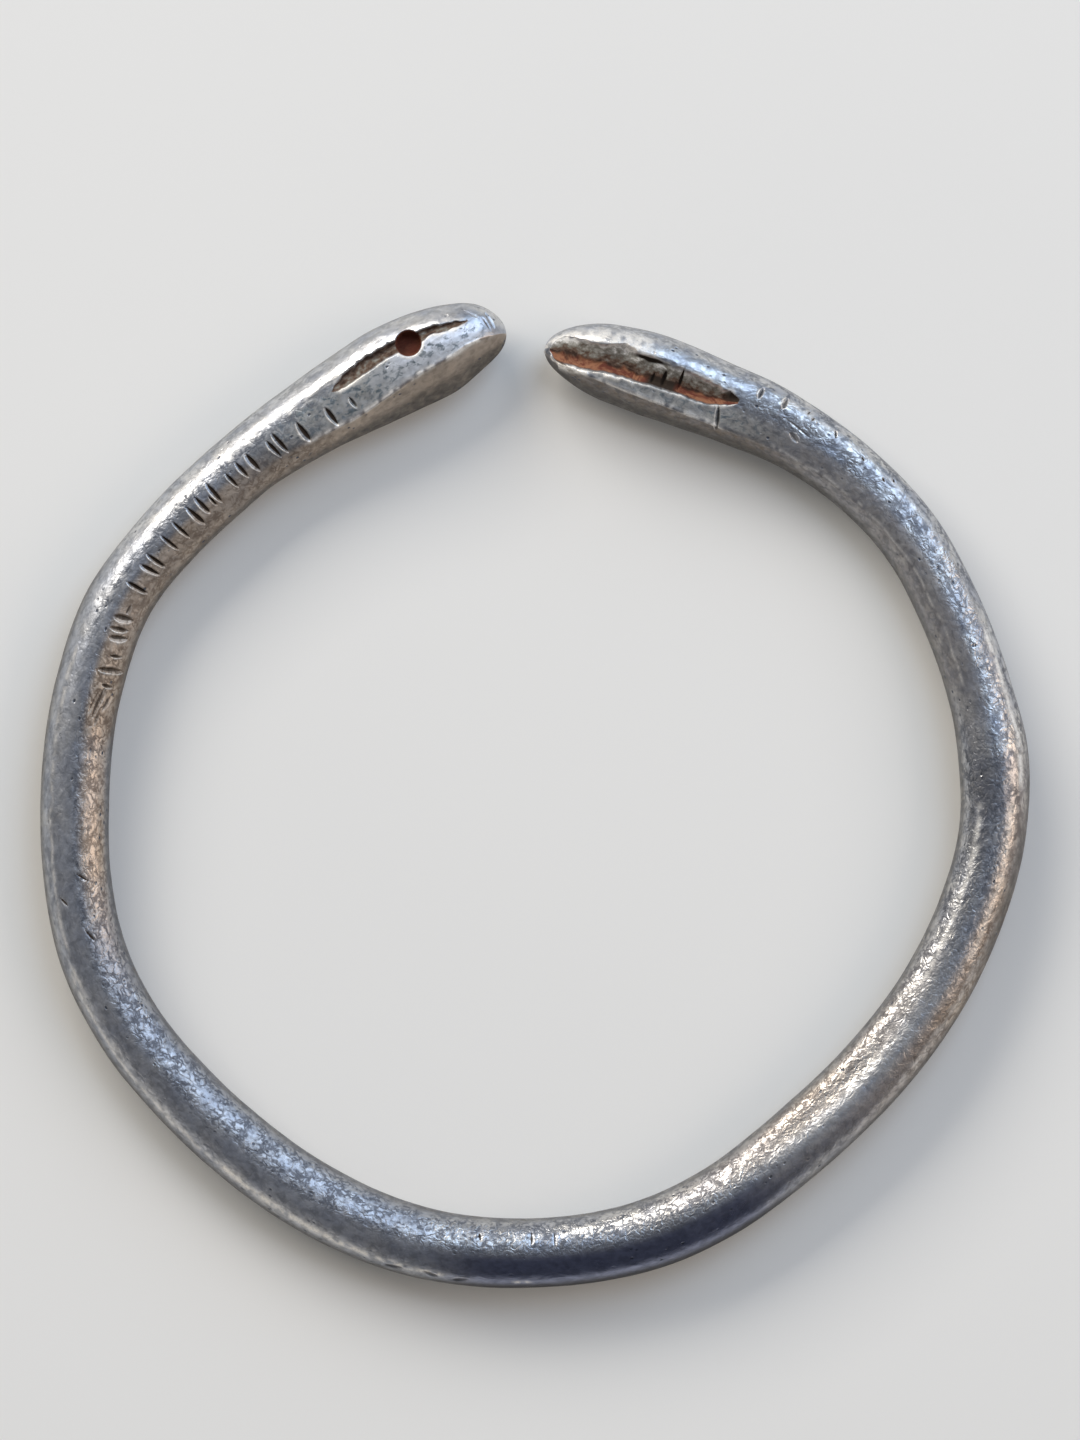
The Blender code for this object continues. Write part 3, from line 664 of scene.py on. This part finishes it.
def grain(place, scale, detail=5.0, roughness=0.6, distortion=0.0):
    inputs = {
        "Vector": place, "Scale": scale, "Detail": detail, "Roughness": roughness, "Distortion": distortion,
    }
    return put(tree, "ShaderNodeTexNoise", inputs).outputs["Fac"]


def stretched(place, shares):
    return put(tree, "ShaderNodeMapping", {"Vector": place, "Scale": shares}).outputs["Vector"]


COOL_SILVER = (0.50, 0.52, 0.57)
PALE_SILVER = (0.78, 0.77, 0.75)
# Tan toning, also painting part of the warm highlights
TAN_SILVER_AND_HIGHLIGHT = (0.78, 0.635, 0.495)
# Rubbed silver, also the colour of the painted highlights
RUBBED_SILVER_AND_HIGHLIGHT = (0.92, 0.88, 0.82)
HAZE = (0.37, 0.395, 0.45)
BROWN_FILM = (0.24, 0.195, 0.155)
TAN_FILM = (0.46, 0.385, 0.315)
# Patina and painted shade on the flanks
PATINA_AND_SHADE = (0.115, 0.106, 0.094)
# A painted shadow reflection, and a darker one where it meets the shaded flank
MIRRORED_SHADOW = (0.30, 0.32, 0.42)
DEEP_MIRRORED_SHADOW = (0.045, 0.043, 0.046)
ETCHED_DARK = (0.10, 0.135, 0.155)
ETCHED_GREY = (0.36, 0.36, 0.345)
# A painted bluish highlight on the left head's face
ETCHED_PALE_HIGHLIGHT = (0.82, 0.87, 0.97)
CRACK = (0.10, 0.11, 0.135)
BROWN_CRACK = (0.15, 0.105, 0.075)
RUST = (0.27, 0.120, 0.064)
DEEP_RUST = (0.125, 0.036, 0.022)
# Dark soil, and painted shade in the cuts' deep places
DARK_SOIL_AND_SHADE = (0.030, 0.020, 0.014)
rod = put(tree, "ShaderNodeAttribute", attribute_name="straight_rod").outputs["Vector"]
drawn = stretched(rod, (0.7, 1.0, 1.0))
clouds = grain(rod, 0.22, 4.0)
patches = grain(drawn, 0.8)
wander = put(tree, "ShaderNodeTexNoise", {"Vector": rod, "Scale": 1.6, "Detail": 2.0}).outputs["Color"]
warp = {0: wander, 1: (1.2, 1.2, 1.2), 2: drawn}
warped = put(tree, "ShaderNodeVectorMath", warp, operation="MULTIPLY_ADD").outputs["Vector"]
cells = put(tree, "ShaderNodeTexVoronoi", {"Vector": warped, "Scale": 1.9},
            feature="DISTANCE_TO_EDGE").outputs["Distance"]
specks = grain(drawn, 2.4, 2.0, 0.5, 0.4)
gaps = ramp(grain(rod, 1.2, 2.0), (0.38, 0.1), (0.54, 1.0))
broken = sums("MULTIPLY", ramp(cells, (0.05, 1.0), (0.24, 0.0)), gaps)
crackle = sums("MAXIMUM", broken, ramp(specks, (0.35, 1.0), (0.43, 0.0)))
crackle = sums("MULTIPLY", crackle, mask("crackled"))
pebbles = grain(drawn, 1.15, 2.0, 0.5, 0.8)
pits = put(tree, "ShaderNodeTexVoronoi", {"Vector": drawn, "Scale": 1.9}).outputs["Distance"]
pitted = sums("MULTIPLY", ramp(pits, (0.12, 1.0), (0.22, 0.0)), ramp(patches, (0.50, 0.0), (0.60, 1.0)))
hair = grain(stretched(rod, (0.12, 3.0, 3.0)), 5.0, 3.0)
grit = grain(rod, 6.5, 3.0, 0.7)
mottling = grain(drawn, 1.9, 3.0, 0.65, 0.6)

tone = mix(ramp(patches, (0.38, 0.0), (0.62, 1.0)), COOL_SILVER, PALE_SILVER)
tone = mix(sums("MULTIPLY", mask("haze"), 0.7), tone, HAZE)
# Painted shadow reflection on the bottom arm
tone = mix(mask("mirrored_shadow"), tone, MIRRORED_SHADOW)
# Tan toning and painted warm highlight
tone = mix(sums("MULTIPLY", mask("warm"), ramp(clouds, (0.3, 0.45), (0.6, 1.0))), tone, TAN_SILVER_AND_HIGHLIGHT)
tone = mix(sums("MULTIPLY", mask("brown"), ramp(mottling, (0.35, 1.0), (0.65, 0.7))), tone,
           mix(mask("warm"), BROWN_FILM, TAN_FILM))
# Painted bluish highlight on the left head's face
etched_light = mix(mask("pale_face_highlight"), ETCHED_GREY, ETCHED_PALE_HIGHLIGHT)
spotty = sums("ADD", grain(drawn, 2.6, 3.0, 0.6, 0.5), sums("MULTIPLY", mask("pale_face_highlight"), 0.035))
etched_tone = mix(ramp(spotty, (0.40, 0.0), (0.50, 1.0)), ETCHED_DARK, etched_light)
tone = mix(sums("MULTIPLY", mask("etched"), ramp(mottling, (0.35, 0.5), (0.6, 0.9))), tone, etched_tone)
# Patina and painted shade darken the flanks
tone = mix(sums("MULTIPLY", mask("patina_and_shade"), ramp(mottling, (0.3, 1.0), (0.7, 0.7))), tone, PATINA_AND_SHADE)
# Darker still where the painted shade of the flank meets the painted shadow reflection
tone = mix(sums("MULTIPLY", mask("patina_and_shade"), mask("mirrored_shadow")), tone, DEEP_MIRRORED_SHADOW)
tone = mix(1.0, tone, ramp(specks, (0.35, 0.74), (0.60, 1.0)), "MULTIPLY")
tone = mix(sums("MULTIPLY", crackle, 0.85), tone, mix(mask("warm"), CRACK, BROWN_CRACK))
tone = mix(pitted, tone, CRACK)
# Rubbed lips, burrs and ridges, and painted highlights
tone = mix(sums("MULTIPLY", mask("bright"), ramp(grit, (0.32, 0.4), (0.50, 1.0))), tone, RUBBED_SILVER_AND_HIGHLIGHT)
flecks = sums("SUBTRACT", sums("ADD", mottling, grain(drawn, 3.4, 2.0)), 1.0)
# The film on a cut's walls, with painted shade darkening it towards the floor
wall_film_and_shade = ramp(sums("ADD", mask("wall"), flecks),
                 (0.02, (0.05, 0.028, 0.020)), (0.30, (0.15, 0.10, 0.074)), (0.52, (0.24, 0.222, 0.19)),
                 (0.76, (0.48, 0.46, 0.42)), (0.90, (0.85, 0.83, 0.80)))
tone = mix(mask("film"), tone, wall_film_and_shade)
# Dark soil, and painted shade in the pocket and along the right line's floor
soiled_and_shaded = ramp(mask("soil_and_shade"), (0.25, 0.0), (0.75, 1.0))
tone = mix(soiled_and_shaded, tone, DARK_SOIL_AND_SHADE)
rusty = ramp(mask("rust"), (0.15, 0.0), (0.55, 1.0))
red = mix(ramp(grain(drawn, 0.75, 4.0, 0.75, 0.6), (0.46, 0.0), (0.57, 1.0)), DEEP_RUST, RUST)
tone = mix(rusty, tone, mix(ramp(mask("rust"), (0.82, 0.0), (0.95, 0.75)), red, DEEP_RUST))
earthy = sums("MAXIMUM", rusty, soiled_and_shaded)

# How far film, soil, fine wear and the painted light and shade keep the silver from mirroring like bare
# metal
dull = sums("MULTIPLY", mask("haze"), 0.24)
for name, share in (("brown", 0.55), ("etched", 0.62), ("patina_and_shade", 0.75), ("bright", 0.75), ("film", 0.70)):
    dull = sums("MAXIMUM", dull, sums("MULTIPLY", mask(name), share))
dull = sums("MAXIMUM", dull, earthy)
gloss = ramp(patches, (0.3, 0.34), (0.7, 0.25))
gloss = mix(mask("haze"), gloss, (0.40, 0.40, 0.40))
gloss = mix(sums("MAXIMUM", mask("brown"), mask("patina_and_shade")), gloss, (0.48, 0.48, 0.48))
gloss = mix(sums("MULTIPLY", crackle, 0.7), gloss, (0.65, 0.65, 0.65))
gloss = mix(sums("MAXIMUM", earthy, mask("film")), gloss, (0.85, 0.85, 0.85))
domes = sums("MULTIPLY", ramp(cells, (0.0, 0.0), (0.30, 1.0)), mask("crackled"))
relief = sums("ADD", sums("MULTIPLY", pebbles, 1.2), sums("MULTIPLY", domes, 0.35))
relief = sums("ADD", relief, sums("MULTIPLY", hair, 0.12))
relief = sums("SUBTRACT", relief, sums("MULTIPLY", pitted, 0.6))
bump = put(tree, "ShaderNodeBump", {"Strength": 0.8, "Distance": 0.05 * MM, "Height": relief})
shader.inputs["Specular IOR Level"].default_value = 0.25
tree.links.new(tone, shader.inputs["Base Color"])
tree.links.new(gloss, shader.inputs["Roughness"])
tree.links.new(sums("SUBTRACT", 1.0, dull), shader.inputs["Metallic"])
tree.links.new(bump.outputs["Normal"], shader.inputs["Normal"])
bracelet.data.materials.clear()
bracelet.data.materials.append(silver)
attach(bracelet, "root")
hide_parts("snake_bracelet")


# The floor
# A plain pale tabletop, matt, wide enough to fill every view, and a hair below the metal.
FLOOR_SIZE = 8
FLOOR_GAP = 0.02
bpy.ops.object.select_all(action="DESELECT")
bpy.ops.mesh.primitive_plane_add(size=FLOOR_SIZE, location=(0, 0, -FLOOR_GAP * MM))
floor = bpy.context.object
floor.name = "floor"
tabletop = bpy.data.materials.new("pale_tabletop")
tabletop.use_nodes = True
matt = tabletop.node_tree.nodes["Principled BSDF"].inputs
matt["Base Color"].default_value = (0.80, 0.79, 0.77, 1)
matt["Roughness"].default_value = 0.85
floor.data.materials.append(tabletop)


# The light
# Four soft panels: a warm white one low to the upper left, a warm dim one to the right, a tall cool one to
# the upper right and a narrow strip low to the lower left. The room is dark where the silver mirrors it.
PANEL_DISTANCE = 1.0


def panel(name, bearing, height, width, tall, power, colour):
    """A panel in the direction of bearing and height, both in degrees, facing the bracelet."""
    light = bpy.data.lights.new(name, "AREA")
    light.shape = "RECTANGLE"
    light.size, light.size_y = width, tall
    light.energy = power
    light.color = colour
    made = bpy.data.objects.new(name, light)
    bpy.context.scene.collection.objects.link(made)
    bearing, height = math.radians(bearing), math.radians(height)
    flat = math.cos(height)
    towards = Vector((math.cos(bearing) * flat, math.sin(bearing) * flat, math.sin(height)))
    made.location = towards * PANEL_DISTANCE
    made.rotation_euler = (-towards).to_track_quat("-Z", "Y").to_euler()
    made.visible_camera = False


panel("key_panel", 126, 29, 0.85, 0.40, 8.4, (1.0, 0.95, 0.87))
panel("warm_panel", 0, 33, 0.60, 0.50, 2.2, (1.0, 0.84, 0.70))
panel("cool_panel", 54, 40, 0.66, 1.00, 5.4, (0.62, 0.78, 1.0))
panel("edge_panel", 225, 9, 0.90, 0.10, 0.8, (1.0, 0.93, 0.82))

room = bpy.data.worlds.new("room")
bpy.context.scene.world = room
room.use_nodes = True
tree = room.node_tree
tree.nodes.clear()
rays = put(tree, "ShaderNodeLightPath").outputs
dim = put(tree, "ShaderNodeBackground", {"Color": (0.060, 0.066, 0.090, 1)}).outputs["Background"]
soft = put(tree, "ShaderNodeBackground", {"Color": (0.24, 0.24, 0.24, 1)}).outputs["Background"]
pale = put(tree, "ShaderNodeBackground", {"Color": (0.80, 0.80, 0.80, 1)}).outputs["Background"]
lit = put(tree, "ShaderNodeMixShader", {0: rays["Is Glossy Ray"], 1: soft, 2: dim}).outputs["Shader"]
seen = put(tree, "ShaderNodeMixShader", {0: rays["Is Camera Ray"], 1: lit, 2: pale}).outputs["Shader"]
put(tree, "ShaderNodeOutputWorld", {"Surface": seen})


# The camera
# It looks straight down, as in the photograph, at a frame 98.9 mm tall whose middle lies a little above the
# hoop's.
FRAME_HEIGHT = 98.9
FRAME_MIDDLE = (0.34, 5.2)
CAMERA_HEIGHT = 600
camera_data = bpy.data.cameras.new("camera")
camera_data.sensor_width = 36
camera_data.lens = camera_data.sensor_width * (CAMERA_HEIGHT - ROD_HEIGHT / 2) / FRAME_HEIGHT
camera_data.clip_start = 0.01
camera = bpy.data.objects.new("camera", camera_data)
bpy.context.scene.collection.objects.link(camera)
camera.location = (FRAME_MIDDLE[0] * MM, FRAME_MIDDLE[1] * MM, CAMERA_HEIGHT * MM)
bpy.context.scene.camera = camera
bpy.context.scene.view_settings.view_transform = "Standard"
